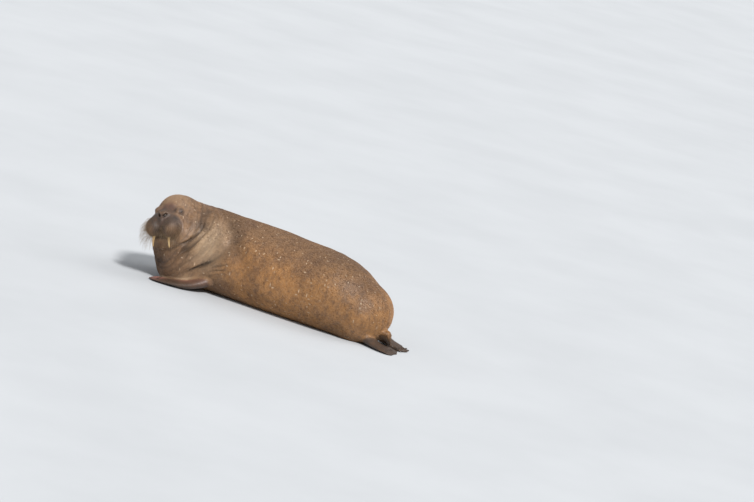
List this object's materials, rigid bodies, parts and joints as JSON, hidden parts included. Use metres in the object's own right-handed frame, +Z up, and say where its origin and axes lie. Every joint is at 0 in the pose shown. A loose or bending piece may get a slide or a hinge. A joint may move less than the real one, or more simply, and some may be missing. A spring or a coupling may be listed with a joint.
{
  "type": "walrus model",
  "caption": "Life-size young female walrus lying on its belly, head raised and turned to its left, with short tusks, whisker pads and flippers laid on the floor.",
  "frame": {"origin": "middle of the model's bounding box in plan, on the floor it lies on", "axes": "+Z up, -X the way the trunk points, -Y the animal's left side"},
  "size_m": [2.4106, 1.1354, 0.7035],
  "materials": {
    "hide": "short-haired hide, matt with a damp sheen",
    "muzzle": "bare dark skin, slightly damp",
    "flipper": "bare wrinkled skin, matt",
    "ivory": "worn yellow ivory, semi-matt",
    "eye": "wet and glossy"
  },
  "bodies": {
    "root": {"head": "hide", "lower_jaw": "muzzle", "whisker_pad_left": "muzzle", "whisker_pad_right": "muzzle", "tusk_left": "ivory", "tusk_right": "ivory", "eye_left": "eye", "eye_right": "eye", "neck": "hide", "shoulders": "hide", "torso": "hide", "rump": "hide", "foreflipper_left": "flipper", "hindflipper_left": "flipper", "foreflipper_right": "flipper", "hindflipper_right": "flipper", "tail": "hide"}
  },
  "joints": []
}
